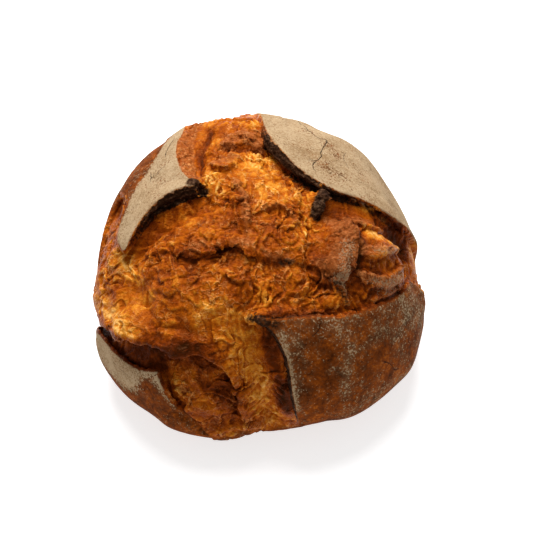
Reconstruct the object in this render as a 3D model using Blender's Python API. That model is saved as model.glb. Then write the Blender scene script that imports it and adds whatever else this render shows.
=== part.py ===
"""A round country loaf, 24 cm across, whose top has burst open in the oven.

Four flaps of floured crust stand round the burst, and torn crumb fills it. The loaf is one solid.
Its core is a dome with the burst carved into it, and the flaps' free lips and the crumb's crags are
joined on to it. Metres, +Z up. The loaf stands on its flat base at z = 0, and -Y is its front.

A place on the loaf is given in crown degrees (u, v). It lies sqrt(u*u + v*v) degrees from the crown,
as seen from the heart of the loaf, u towards +X and v towards +Y. A degree is about 2 mm of crust.
"""

import bmesh
import bpy
import numpy as np
from mathutils import Vector, noise

MM = 0.001

# The dome
HEIGHT = 142 * MM
HEART = 43 * MM  # height of the widest level, and of the point that directions are seen from
PLAN_RADII = np.array([122, 119, 120, 120, 115, 126, 117, 124]) * MM  # every 45 degrees from +X
DOME_FULLNESS = 2.35  # superellipse exponent above the widest level
FOOT_FULLNESS = 3.0
FOOT_DEPTH = 50 * MM  # below the heart, were the floor not there
CROWN_SHIFT = np.array([-5, 27]) * MM  # the top of the dome leans to the back
LEAN_POWER = 1.5

# Meshes
CORE_SUBDIVISIONS = 6
STATION = 3.2  # crown degrees between the sections of a lip or a crag
TRIANGLES = 11400  # in the finished loaf

# Where the dome's form stands out or in: a path, how far (mm), half width (degrees)
DENTS = [
    ([(66, 8), (54, 22)], -4.0, 10.0),
    ([(68, -16)], -7.0, 7.0),
    ([(84, -4), (81, 3), (86, 10)], -8.5, 6.0),
    ([(46, 38), (24, 48)], 3.0, 12.0),
    ([(8, -110), (26, -104), (44, -96)], -5.0, 12.0),
    ([(-48, -88), (-26, -100)], 3.5, 11.0),
    ([(-84, -38)], 3.0, 12.0),
    ([(84, -46)], 3.0, 12.0),
    ([(-66, -74)], -1.5, 16.0),
    ([(28, 44)], -2.5, 8.0),
]

# The flaps' free edges, walked with the burst on the left
UPPER_RIGHT_END = (98, 8)
LOWER_RIGHT_END = (98, -17)
BACK_END = (-8, 78)
UPPER_RIGHT_EDGE = [UPPER_RIGHT_END, (86, 8), (76, 7), (69, 4), (60, -1.5), (52, -4), (42, -5),
                    (34, -6), (27.5, -4.5), (21, -0.5), (15, 7.5), (9, 18.5), (7, 26), (5, 39), (0, 58),
                    BACK_END]
UPPER_LEFT_RIM = [BACK_END, (-20, 58), (-27, 42), (-27, 31), (-29, 20), (-29, 11), (-27, 2), (-20.5, -8.5)]
UPPER_LEFT_LIP = [(-20.5, -8.5), (-30, -8.5), (-39, -12), (-46.5, -18), (-50, -22)]
LEFT_SPLIT = [(-50, -22), (-54, -11), (-51, 0), (-50.5, 5), (-58, 18), (-68, 17), (-80, 3), (-102, -8)]
LOWER_LEFT_TOP = [(-106, -16), (-88, -26), (-75, -37), (-66, -48), (-60, -54), (-53, -60), (-41.5, -65)]
LOWER_LEFT_SIDE = [(-41.5, -65), (-40, -75), (-33, -87), (-24, -99)]
LOWER_RIGHT_SIDE = [(28, -98), (21, -86), (17, -77), (14, -67), (8, -59), (2, -56)]
LOWER_RIGHT_TOP = [(2, -56), (11, -56), (26, -53), (44, -45.5), (60, -32), (72, -18), (84, -16),
                   LOWER_RIGHT_END]

# Where the flaps' outlines close, past the foot of the loaf
FAR = 150
UPPER_RIGHT_CLOSING = [(-8, FAR), (FAR, FAR), (FAR, 8)]
UPPER_LEFT_CLOSING = [(-FAR, -8), (-FAR, FAR), (-8, FAR)]
LOWER_LEFT_CLOSING = [(-24, -FAR), (-FAR, -FAR), (-FAR, -16)]
LOWER_RIGHT_CLOSING = [(FAR, -17), (FAR, -FAR), (28, -FAR)]

# Lips: free edge, how far it stands up, its thickness (mm), how far it overhangs the crumb (degrees)
UPPER_RIGHT_LIPS = [(UPPER_RIGHT_EDGE, 2.5, 6.5, 2.2)]
UPPER_LEFT_LIPS = [(UPPER_LEFT_RIM, 1.5, 6.0, 0.8), (UPPER_LEFT_LIP, 4.0, 7.5, 2.2),
                   (LEFT_SPLIT, 0.8, 4.0, 0.6)]
LOWER_LEFT_LIPS = [(LOWER_LEFT_TOP, 0.6, 4.5, 0.6), (LOWER_LEFT_SIDE, 1.6, 4.5, 0.5)]
LOWER_RIGHT_LIPS = [(LOWER_RIGHT_SIDE, 2.2, 6.0, 1.2), (LOWER_RIGHT_TOP, 1.2, 4.5, 0.8)]
EDGE_MARGIN = 1.0  # degrees
LIP_REACH = 13.0  # degrees from a lip's free edge to its root in the crust
LIP_ROOT_DEPTH = 4.0  # mm
FOOT_SINK = 7.0  # mm that lips and crags have sunk into the dome at its foot
FOOT_SINK_FROM = 84.0  # degrees
FOOT_SINK_OVER = 14.0

# Flaps: name, lips, where the outline closes, and how far the core is hollowed out under the lips,
# in degrees back from the free edge
FLAPS = [
    ("upper_right", UPPER_RIGHT_LIPS, UPPER_RIGHT_CLOSING, 6.0),
    ("upper_left", UPPER_LEFT_LIPS, UPPER_LEFT_CLOSING, 5.0),
    ("lower_left", LOWER_LEFT_LIPS, LOWER_LEFT_CLOSING, 2.5),
    ("lower_right", LOWER_RIGHT_LIPS, LOWER_RIGHT_CLOSING, 3.5),
]

# The crumb in the burst, below the dome's form (mm). A hollow or a swell is a path, the depth that
# it adds (mm) and its half width (degrees)
CRUMB_DEPTH = 3.5
CRUMB_FOOT_FROM = 96.0  # degrees from which the burst closes towards the foot
CRUMB_FOOT_OVER = 14.0
SWELLS = [
    ([(-21, -14), (-34, -16.5), (-49, -23)], 10.0, 6.5),  # hollow under the upper left lip
    ([(64, -8), (48, -12), (32, -12)], 7.5, 6.5),  # hollow under the upper right lip
    ([(22, -4), (12, 6), (5, 22)], 6.0, 6.0),
    ([(-18, 4), (-18, 22)], 2.5, 6.0),
    ([(-2, -60), (1, -74), (8, -97)], 9.0, 7.5),  # valley beside the lower right flap
    ([(12, -50), (30, -46), (46, -38), (60, -26)], 2.5, 5.0),
    ([(24, -22), (26, -40)], 4.0, 6.0),
    ([(-44, -38), (-62, -30)], 2.5, 9.0),
    ([(-58, 2), (-62, 12)], 3.0, 6.0),  # the small split on the left
    ([(46, -26)], -7.0, 13.0),  # the rounded boss on the right
    ([(34, -26), (32, -36)], -4.0, 5.0),  # the wedge beside it
    ([(-4, -4), (-2, -18), (1, -32)], -3.0, 4.0),
    ([(-8, 30), (2, 44)], -3.5, 12.0),
    ([(-34, -48), (-18, -52), (-8, -60)], -3.0, 9.0),
    ([(-62, -38), (-76, -24)], -4.0, 9.0),
    ([(-26, -70), (-20, -86)], -1.5, 9.0),
]

# The crumb's shelves: a path whose left side is the lower one, the drop (mm) and how far the lower
# ground reaches from it (degrees)
SHELVES = [
    ([(-8, -88), (-9, -76), (-14, -67), (-24, -60), (-38, -58), (-52, -50), (-64, -41),
      (-82, -22)], 9.0, 12.0),
    ([(16, -38), (4, -37), (-8, -32), (-20, -35), (-30, -30), (-40, -28)], 4.0, 14.0),
    ([(6, 19), (-4, 21), (-12, 17)], 3.0, 8.0),
    ([(18, -20), (8, -18), (2, -22)], 2.0, 6.0),
]

SHELF_FACE = 2.0  # degrees across a shelf's steep face

# Crags stand on the crumb: a path that leans to its left, height and sink (mm), half width (degrees)
CRAGS = {
    "left_crest": ([(-9, -80), (-11, -70), (-20, -61), (-36, -58), (-52, -50), (-64, -41),
                    (-80, -23)], 5.5, 7.0, 3.6),
    "middle_crest": ([(14, -38), (2, -36), (-8, -32), (-20, -35), (-32, -30)], 0.5, 7.0, 2.8),
    "crown_flake": ([(7, 18), (-3, 15.5), (-12, 17)], 2.0, 6.0, 3.0),
    "right_flake": ([(33, -17), (39, -28), (38, -38), (35, -48)], 5.0, 8.0, 4.8),
    "burnt_nub": ([(30.5, -4), (28, -12), (25.5, -20)], 4.0, 9.0, 2.3),
    "burnt_tip": ([(18, -55), (8, -56), (-3, -57)], 3.0, 7.0, 2.6),
}

# The cracked rings on the boss at the right
RINGS_CENTRE = (46, -24)
RING_SPACING = 6.5  # degrees
RING_HEIGHT = 1.3  # mm
RINGS_OUTER = 19.0  # degrees
RINGS_FADE = 6.0

# Unevenness all over, as heights in mm and lengths in mm
CRUMB_ROUGHNESS = [(2.0, 26), (1.3, 12)]
CRUST_ROUGHNESS = [(0.9, 45), (0.35, 18)]

BASE_SNAP = 0.05 * MM
CRUST_COLOUR = (0.42, 0.17, 0.045, 1)
CRUST_SHEEN_ROUGHNESS = 0.6


def periodic(values, turn):
    """Read values spaced evenly round a circle, smoothly between them, at angles turn."""
    count = len(values)
    place = (turn / (2 * np.pi) * count) % count
    first = np.floor(place).astype(int)
    t = place - first
    before, here, after, beyond = [values[(first + step) % count] for step in (-1, 0, 1, 2)]
    bend = 2 * before - 5 * here + 4 * after - beyond
    twist = 3 * (here - after) + beyond - before
    return here + 0.5 * t * (after - before + t * (bend + t * twist))


def smooth_path(points, spacing):
    """A smooth curve through the points, in steps of about the spacing."""
    points = np.array(points, float)
    if len(points) == 1:
        return points
    padded = np.vstack([2 * points[0] - points[1], points, 2 * points[-1] - points[-2]])
    pieces = []
    for before, here, after, beyond in zip(padded, padded[1:], padded[2:], padded[3:]):
        steps = max(2, int(np.ceil(np.linalg.norm(after - here) / spacing)))
        t = np.arange(steps)[:, None] / steps
        bend = 2 * before - 5 * here + 4 * after - beyond
        twist = 3 * (here - after) + beyond - before
        pieces.append(here + 0.5 * t * (after - before + t * (bend + t * twist)))
    pieces.append(points[-1:])
    return np.vstack(pieces)


def distance_to(path, u, v):
    """Degrees from each place to the path, negative on the path's left."""
    places = np.stack([u, v], -1)
    line = smooth_path(path, STATION)
    if len(line) == 1:
        return np.linalg.norm(places - line[0], axis=-1)
    nearest = np.full(u.shape, np.inf)
    side = np.ones(u.shape)
    for start, end in zip(line, line[1:]):
        along = end - start
        offset = places - start
        share = np.clip(offset @ along / (along @ along), 0, 1)
        gap = np.linalg.norm(offset - share[..., None] * along, axis=-1)
        closer = gap < nearest
        turning = along[0] * offset[..., 1] - along[1] * offset[..., 0]
        side = np.where(closer, np.where(turning > 0, -1.0, 1.0), side)
        nearest = np.where(closer, gap, nearest)
    return nearest * side


def spread(stretches, u, v):
    """The sum of what stretches along paths add at each place."""
    total = np.zeros(u.shape)
    for path, amount, half_width in stretches:
        total += amount * np.exp(-(distance_to(path, u, v) / half_width) ** 2)
    return total


def inside(outline, u, v):
    """True where a place lies inside a closed outline."""
    result = np.zeros(u.shape, bool)
    for start, end in zip(outline, np.roll(outline, -1, axis=0)):
        crosses = (start[1] > v) != (end[1] > v)
        rise = end[1] - start[1]
        at = start[0] + (v - start[1]) * (end[0] - start[0]) / (rise if rise else 1.0)
        result ^= crosses & (u < at)
    return result


def flap_outline(lips, closing):
    """A flap's closed outline: its free edges, then the closing points."""
    return np.vstack([smooth_path(lip[0], STATION) for lip in lips] + [closing])


def ease(value):
    """0 up to 0, 1 from 1 on, smooth between."""
    t = np.clip(value, 0, 1)
    return t * t * (3 - 2 * t)


def dome_point(u, v, proud):
    """The place in space that lies proud (metres) of the dome's form at crown degrees (u, v)."""
    tilt = np.radians(np.hypot(u, v))
    turn = np.arctan2(v, u)
    plan = periodic(PLAN_RADII, turn)
    across, up = np.sin(tilt), np.cos(tilt)
    fullness = np.where(up > 0, DOME_FULLNESS, FOOT_FULLNESS)
    rise = np.where(up > 0, HEIGHT - HEART, FOOT_DEPTH)
    form = (np.abs(across / plan) ** fullness + np.abs(up / rise) ** fullness) ** (-1 / fullness)
    reach = form + MM * spread(DENTS, u, v) + proud
    z = HEART + reach * up
    lean = np.clip((z - HEART) / (HEIGHT - HEART), 0, 1) ** LEAN_POWER
    x = reach * across * np.cos(turn) + CROWN_SHIFT[0] * lean
    y = reach * across * np.sin(turn) + CROWN_SHIFT[1] * lean
    return np.stack([x, y, np.maximum(z, 0)], -1)


def crumb_depth(u, v):
    """How far the torn crumb lies below the dome's form, in mm."""
    depth = CRUMB_DEPTH + spread(SWELLS, u, v)
    for path, drop, reach in SHELVES:
        signed = distance_to(path, u, v)
        below = drop * ease(-signed / SHELF_FACE) * np.exp(signed / reach)
        depth += np.where(signed < 0, below, 0)
    from_centre = np.hypot(u - RINGS_CENTRE[0], v - RINGS_CENTRE[1])
    fade = 1 - ease((from_centre - RINGS_OUTER) / RINGS_FADE + 1)
    depth -= RING_HEIGHT * fade * np.cos(2 * np.pi * from_centre / RING_SPACING)
    return depth


def carving(u, v):
    """Depth of the core below the dome's form in mm, and the share of a place that is crumb."""
    depth = crumb_depth(u, v)
    share = np.ones(u.shape)
    for name, lips, closing, undercut in FLAPS:
        in_flap = inside(flap_outline(lips, closing), u, v)
        gap = np.min([np.abs(distance_to(lip[0], u, v)) for lip in lips], axis=0)
        share = np.where(in_flap, 1 - ease((gap - EDGE_MARGIN) / undercut), share)
    foot = 1 - ease((np.hypot(u, v) - CRUMB_FOOT_FROM) / CRUMB_FOOT_OVER)
    return depth * share * foot, share


def roughness(point, share):
    """Unevenness at a point in space, in mm."""
    total = 0.0
    for amounts, weight in ((CRUMB_ROUGHNESS, share), (CRUST_ROUGHNESS, 1 - share)):
        for height, length in amounts:
            total += weight * height * noise.noise(Vector(point) / (length * MM))
    return total


def new_object(name, collection, mesh_data):
    mesh = bpy.data.meshes.new(name)
    mesh_data.to_mesh(mesh)
    mesh_data.free()
    made = bpy.data.objects.new(name, mesh)
    collection.objects.link(made)
    return made


def make_core(collection):
    """The dome with the burst carved into it."""
    ball = bmesh.new()
    bmesh.ops.create_icosphere(ball, subdivisions=CORE_SUBDIVISIONS, radius=1)
    directions = np.array([vertex.co for vertex in ball.verts])
    directions /= np.linalg.norm(directions, axis=1)[:, None]
    tilt = np.degrees(np.arccos(np.clip(directions[:, 2], -1, 1)))
    turn = np.arctan2(directions[:, 1], directions[:, 0])
    u, v = tilt * np.cos(turn), tilt * np.sin(turn)
    depth, share = carving(u, v)
    rough = [roughness(point, part) for point, part in zip(dome_point(u, v, 0.0), share)]
    places = dome_point(u, v, (np.array(rough) - depth) * MM)
    for vertex, place in zip(ball.verts, places):
        vertex.co = place
    return new_object("core", collection, ball)


def sweep(name, collection, path, section, outline=None):
    """A closed bar along a path. The section gives, for the share of the path walked and the room
    behind it in the outline, its corners: degrees to the path's left, and mm proud of the dome."""
    line = smooth_path(path, STATION)
    along = np.gradient(line, axis=0)
    along /= np.linalg.norm(along, axis=1)[:, None]
    left = np.stack([-along[:, 1], along[:, 0]], -1)
    room = room_behind(line, left, outline)
    bar = bmesh.new()
    loops = []
    for step, (place, side) in enumerate(zip(line, left)):
        corners = np.array(section(step / (len(line) - 1), room[step]))
        corners[:, 1] -= FOOT_SINK * ease((np.hypot(*place) - FOOT_SINK_FROM) / FOOT_SINK_OVER)
        spots = place + corners[:, :1] * side
        points = dome_point(spots[:, 0], spots[:, 1], corners[:, 1] * MM)
        loops.append([bar.verts.new(point) for point in points])
    for first, second in zip(loops, loops[1:]):
        for a, b, c, d in zip(first, second, second[1:] + second[:1], first[1:] + first[:1]):
            bar.faces.new((a, b, c, d))
    bar.faces.new(reversed(loops[0]))
    bar.faces.new(loops[-1])
    bmesh.ops.triangulate(bar, faces=bar.faces)
    bmesh.ops.recalc_face_normals(bar, faces=bar.faces)
    return new_object(name, collection, bar)


def room_behind(line, left, outline):
    """Degrees from each place on a flap's edge, away from the burst, to the flap's other edge."""
    room = np.full(len(line), LIP_REACH)
    if outline is None:
        return room
    for back in np.arange(LIP_REACH - 1, 0.5, -1):
        behind = line - back * left
        room = np.where(inside(outline, behind[:, 0], behind[:, 1]), room, back)
    return room


def lip_section(lift, thickness, overhang, phase):
    """A lip: the crust curls up towards its free edge, which stands clear of the crumb."""
    def section(walked, back):
        wave = 1 + 0.25 * np.sin(17 * walked + phase)
        top, thick, reach = lift * wave, thickness * (2 - wave), overhang * wave
        rooted = back / LIP_REACH
        tip = 1 - rooted
        return [
            (-back, 0.8 * top * tip - LIP_ROOT_DEPTH * rooted),
            (-0.6 * back, 0.9 * top * tip + 0.3 * rooted),
            (-0.25 * back, top * (tip + 0.6 * rooted)),
            (reach - 0.6, top),
            (reach, top - 0.3 * thick),
            (reach - 0.3, top - 0.75 * thick),
            (reach - 1.0, top - thick),
            (-0.3 * back, 0.5 * top - 1.1 * thick),
            (-back, -LIP_ROOT_DEPTH * rooted - thick * (1 + rooted)),
        ]
    return section


def crag_section(height, sink, half_width, phase):
    """A crag: a torn wave of crumb that leans over its lower side and dies out at both ends."""
    def section(walked, back):
        wave = 1 + 0.3 * np.sin(23 * walked + phase) + 0.2 * np.sin(41 * walked + 2 * phase)
        taper = np.sin(np.pi * np.clip(walked, 0.02, 0.98)) ** 0.6
        top = (height + sink) * taper * (0.8 + 0.2 * wave) - sink
        wide = half_width * (0.2 + 0.8 * taper)
        return [
            (-2.2 * wide, -sink),
            (-0.9 * wide, 0.6 * top - 0.2 * sink),
            (0.2 * wide, top),
            (0.75 * wide * wave, top - 0.8),
            (0.5 * wide, top - 2.5),
            (0.2 * wide, -sink - 1),
            (-1.0 * wide, -sink - 4),
        ]
    return section


def join(core, pieces_collection):
    """One union of the core with all the pieces, which are then removed."""
    union = core.modifiers.new("union", "BOOLEAN")
    union.operation = "UNION"
    union.operand_type = "COLLECTION"
    union.collection = pieces_collection
    union.solver = "MANIFOLD"
    fused = bpy.data.meshes.new_from_object(core.evaluated_get(bpy.context.evaluated_depsgraph_get()))
    core.modifiers.clear()
    core.data = fused
    for piece in list(pieces_collection.objects):
        bpy.data.objects.remove(piece)
    bpy.data.collections.remove(pieces_collection)


def thin_out(loaf):
    """Bring the loaf down to its number of triangles, keeping its ridges and edges."""
    loaf.data.calc_loop_triangles()
    thinning = loaf.modifiers.new("thinning", "DECIMATE")
    thinning.ratio = TRIANGLES / len(loaf.data.loop_triangles)
    thinning.use_collapse_triangulate = True
    thinned = bpy.data.meshes.new_from_object(loaf.evaluated_get(bpy.context.evaluated_depsgraph_get()))
    loaf.modifiers.clear()
    loaf.data = thinned


def settle(loaf):
    """Flatten the base at z = 0 and centre the loaf's box on the origin."""
    places = np.array([vertex.co for vertex in loaf.data.vertices])
    places[places[:, 2] < BASE_SNAP, 2] = 0
    middle = (places.min(axis=0) + places.max(axis=0)) / 2
    places[:, :2] -= middle[:2]
    for vertex, place in zip(loaf.data.vertices, places):
        vertex.co = place


def crust_material():
    material = bpy.data.materials.new("baked_crust")
    material.use_nodes = True
    shader = material.node_tree.nodes["Principled BSDF"]
    shader.inputs["Base Color"].default_value = CRUST_COLOUR
    shader.inputs["Roughness"].default_value = CRUST_SHEEN_ROUGHNESS
    shader.inputs["Metallic"].default_value = 0.0
    return material


def main():
    for left_over in list(bpy.data.objects):
        bpy.data.objects.remove(left_over)
    collection = bpy.data.collections.new("round_loaf")
    pieces = bpy.data.collections.new("pieces")
    for made in (collection, pieces):
        bpy.context.scene.collection.children.link(made)
    loaf = make_core(collection)
    for name, lips, closing, undercut in FLAPS:
        outline = flap_outline(lips, closing)
        for phase, (path, lift, thickness, overhang) in enumerate(lips):
            section = lip_section(lift, thickness, overhang, phase)
            sweep(name, pieces, path, section, outline)
    for phase, (name, (path, height, sink, half_width)) in enumerate(CRAGS.items()):
        sweep(name, pieces, path, crag_section(height, sink, half_width, phase))
    join(loaf, pieces)
    thin_out(loaf)
    settle(loaf)
    loaf.name = "round_loaf"
    loaf.data.name = "round_loaf"
    loaf.data.materials.clear()
    loaf.data.materials.append(crust_material())
    loaf.data.shade_smooth()


main()
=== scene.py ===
"""The looks of the round loaf: torn crumb, floured and charred crust, a pale floor and soft light.

The loaf is one fine mesh in the place of the plain solid. A dome with the burst carved into it, the
lips of the crust and the crags of the crumb are fused and then roughened. Metres, +Z up, front -Y.
A place on the loaf is given in crown degrees (u, v), as seen from the heart of the loaf: it lies
sqrt(u*u + v*v) degrees from the crown, u towards +X and v towards +Y. A degree is about 2 mm.
"""

import bmesh
import bpy
import numpy as np
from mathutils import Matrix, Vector


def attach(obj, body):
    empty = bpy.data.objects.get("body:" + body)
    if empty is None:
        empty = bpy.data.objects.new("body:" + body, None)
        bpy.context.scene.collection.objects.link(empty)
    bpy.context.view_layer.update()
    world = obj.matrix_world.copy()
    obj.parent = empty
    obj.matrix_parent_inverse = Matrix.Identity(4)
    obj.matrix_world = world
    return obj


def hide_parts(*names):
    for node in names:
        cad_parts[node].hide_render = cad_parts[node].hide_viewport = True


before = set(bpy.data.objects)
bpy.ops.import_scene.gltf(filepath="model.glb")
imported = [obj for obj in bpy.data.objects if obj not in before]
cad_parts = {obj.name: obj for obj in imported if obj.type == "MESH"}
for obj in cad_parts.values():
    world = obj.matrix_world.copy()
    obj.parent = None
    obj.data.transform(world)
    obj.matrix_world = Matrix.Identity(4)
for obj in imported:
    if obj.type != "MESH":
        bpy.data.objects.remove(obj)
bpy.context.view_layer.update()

MM = 0.001

# The dome
HEIGHT = 142 * MM
HEART = 43 * MM  # height of the widest level, and of the point that directions are seen from
PLAN_RADII = np.array([122, 119, 120, 120, 115, 126, 117, 124]) * MM  # every 45 degrees from +X
DOME_FULLNESS = 2.35
FOOT_FULLNESS = 3.0
FOOT_DEPTH = 50 * MM
CROWN_SHIFT = np.array([-5, 27]) * MM
LEAN_POWER = 1.5

# Where the dome's form stands out or in: a path, how far (mm), half width (degrees)
DENTS = [
    ([(66, 8), (54, 22)], -4, 10),
    ([(68, -16)], -7, 7),
    ([(84, -4), (81, 3), (86, 10)], -8.5, 6),
    ([(46, 38), (24, 48)], 3, 12),
    ([(8, -110), (26, -104), (44, -96)], -5, 12),
    ([(-48, -88), (-26, -100)], 3.5, 11),
    ([(-84, -38)], 3, 12),
    ([(84, -46)], 3, 12),
    ([(-66, -74)], -1.5, 16),
    ([(28, 44)], -2.5, 8),
]

# The flaps' free edges, walked with the burst on the left
UPPER_RIGHT_END = (98, 8)
LOWER_RIGHT_END = (98, -17)
BACK_END = (-8, 78)
UPPER_RIGHT_EDGE = [UPPER_RIGHT_END, (86, 8), (76, 7), (69, 4), (64, 1), (60, -1.5), (52, -4), (42, -5),
                    (34, -6), (27.5, -4.5), (21, -0.5), (17.5, 3.5), (15, 7.5), (12, 12.5), (9, 18.5),
                    (7, 26), (5, 39), (0, 58), BACK_END]
UPPER_LEFT_RIM = [BACK_END, (-20, 58), (-27, 42), (-27, 31), (-29, 20), (-29, 11), (-27, 2),
                  (-24, -4), (-22, -6.5), (-20.5, -8.5)]
UPPER_LEFT_LIP = [(-20.5, -8.5), (-24, -8), (-30, -8.5), (-35, -10), (-39, -12), (-43, -14.5),
                  (-46.5, -18), (-50, -22)]
LEFT_SPLIT = [(-50, -22), (-53, -17), (-54, -11), (-52, -4), (-51, 0), (-50.5, 5), (-58, 18), (-68, 17),
              (-80, 3), (-102, -8)]
LOWER_LEFT_TOP = [(-106, -16), (-88, -26), (-75, -37), (-66, -48), (-60, -54), (-53, -60), (-46, -63.5),
                  (-41.5, -65)]
LOWER_LEFT_SIDE = [(-41.5, -65), (-40, -75), (-33, -87), (-24, -99)]
LOWER_RIGHT_SIDE = [(28, -98), (21, -86), (17, -77), (14, -67), (8, -59), (2, -56)]
LOWER_RIGHT_TOP = [(2, -56), (11, -56), (26, -53), (36, -50), (44, -45.5), (53, -39), (60, -32), (66, -24),
                   (72, -18), (84, -16), LOWER_RIGHT_END]

FAR = 150
UPPER_RIGHT_CLOSING = [(-8, FAR), (FAR, FAR), (FAR, 8)]
UPPER_LEFT_CLOSING = [(-FAR, -8), (-FAR, FAR), (-8, FAR)]
LOWER_LEFT_CLOSING = [(-24, -FAR), (-FAR, -FAR), (-FAR, -14)]
LOWER_RIGHT_CLOSING = [(FAR, -17), (FAR, -FAR), (28, -FAR)]

# Lips: free edge; then from its start to its end how far it stands up and its thickness (mm), how far
# it overhangs the crumb (degrees), how much further out its foot is, and how charred its edge is
UPPER_RIGHT_LIPS = [(UPPER_RIGHT_EDGE, [1, 3, 3.5, 2.5, 2, 3, 3, 2.5, 1.5, 1.5, 1],
                     [5, 7, 7, 3, 2.6, 6, 8, 6, 5, 5, 5], 1.6,
                     [0.3, 0.3, 0.4, 0, 0, 1.2, 2.2, 1.2, 0.8, 0.5, 0.5],
                     [0.1, 0.15, 0.35, 0.5, 0.6, 1, 0.9, 0.4, 0.1, 0.1, 0.1])]
UPPER_LEFT_LIPS = [(UPPER_LEFT_RIM, [1, 1.5, 2.0, 2.0, 3], [5, 6, 7, 7, 6], 0.4, [4.5], [0]),
                   (UPPER_LEFT_LIP, [4, 4, 2.4, 1], [10, 7, 2.8, 1.2], 1.6, [0.9, 0.8, 0.4, 0.1],
                    [1, 1, 0.7, 0.3]),
                   (LEFT_SPLIT, [1], [4], 0.4, [1.5], [0.3])]
LOWER_LEFT_LIPS = [(LOWER_LEFT_TOP, [0.3], [2.5], 0.4, [0.8], [0]),
                   (LOWER_LEFT_SIDE, [2.5, 1.5, 0], [4], 0.3, [0.8], [0])]
LOWER_RIGHT_LIPS = [(LOWER_RIGHT_SIDE, [0, 2, 2, 2.5], [5, 7, 8, 6], 0.4, [1], [0.3, 1, 1, 1]),
                    (LOWER_RIGHT_TOP, [1.5, 1], [5, 4], 0.6, [0.6], [0.7, 0.2, 0.2, 0.2])]
EDGE_MARGIN = 1.0  # degrees
LIP_REACH = 13.0  # degrees from a lip's free edge to its root in the crust
LIP_ROOT_DEPTH = 4.0  # mm
FOOT_SINK = 7.0  # mm that lips and crags have sunk into the dome at its foot
FOOT_SINK_FROM = 84.0  # degrees
FOOT_SINK_OVER = 14.0

# Flaps: lips, where the outline closes, and how far the core is hollowed out under the lips
FLAPS = [
    (UPPER_RIGHT_LIPS, UPPER_RIGHT_CLOSING, 6),
    (UPPER_LEFT_LIPS, UPPER_LEFT_CLOSING, 5),
    (LOWER_LEFT_LIPS, LOWER_LEFT_CLOSING, 2.5),
    (LOWER_RIGHT_LIPS, LOWER_RIGHT_CLOSING, 3.5),
]

# The crumb in the burst: a path, the depth that it adds (mm) and its half width (degrees)
CRUMB_DEPTH = 3.5
CRUST_FOOT_FROM = 99.0  # degrees: the burst ends above a foot of crust
CRUMB_FOOT_FROM = 92.0
CRUMB_FOOT_OVER = 10.0
SWELLS = [
    ([(-21, -14), (-34, -16.5), (-49, -23)], 11, 6.5),
    ([(64, -8), (48, -12), (32, -12)], 7.5, 6.5),
    ([(22, -4), (12, 6), (5, 22)], 6, 6),
    ([(-18, 4), (-18, 22)], 2.5, 6),
    ([(-20, -4), (-21, 4), (-21, 14), (-20, 20), (-17, 28)], 3, 2.2),
    ([(-2, -60), (1, -74), (8, -97)], 9, 7.5),
    ([(12, -50), (30, -46), (46, -38), (60, -26)], 2.5, 5),
    ([(24, -22), (26, -40)], 4, 6),
    ([(-44, -38), (-62, -30)], 2.5, 9),
    ([(-58, 2), (-62, 12)], 3, 6),
    ([(46, -26)], -7, 13),
    ([(34, -26), (32, -36)], -4, 5),
    ([(-4, -4), (-2, -18), (1, -32)], -3, 4),
    ([(-8, 30), (2, 44)], -3.5, 12),
    ([(-34, -48), (-18, -52), (-8, -60)], -3, 9),
    ([(-62, -36), (-76, -22)], -4, 8),
    ([(-50, -34), (-43, -46)], 4, 4.5),
    ([(-88, -27), (-66, -49), (-50, -61)], -3, 3.5),
    ([(-26, -70), (-20, -86)], -1.5, 9),
]

# Shelves: a path whose left side is the lower one, the drop (mm) and how far the lower ground reaches
SHELVES = [
    ([(-8, -88), (-9, -76), (-14, -67), (-24, -60), (-38, -58), (-52, -50), (-64, -41),
      (-82, -22)], 9, 12),
    ([(16, -38), (4, -37), (-8, -32), (-20, -35), (-30, -30), (-40, -28)], 3.2, 14),
    ([(6, 19), (-4, 21), (-12, 17)], 3, 8),
    ([(18, -20), (8, -18), (2, -22)], 2, 6),
]
SHELF_FACE = 2.0

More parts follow.
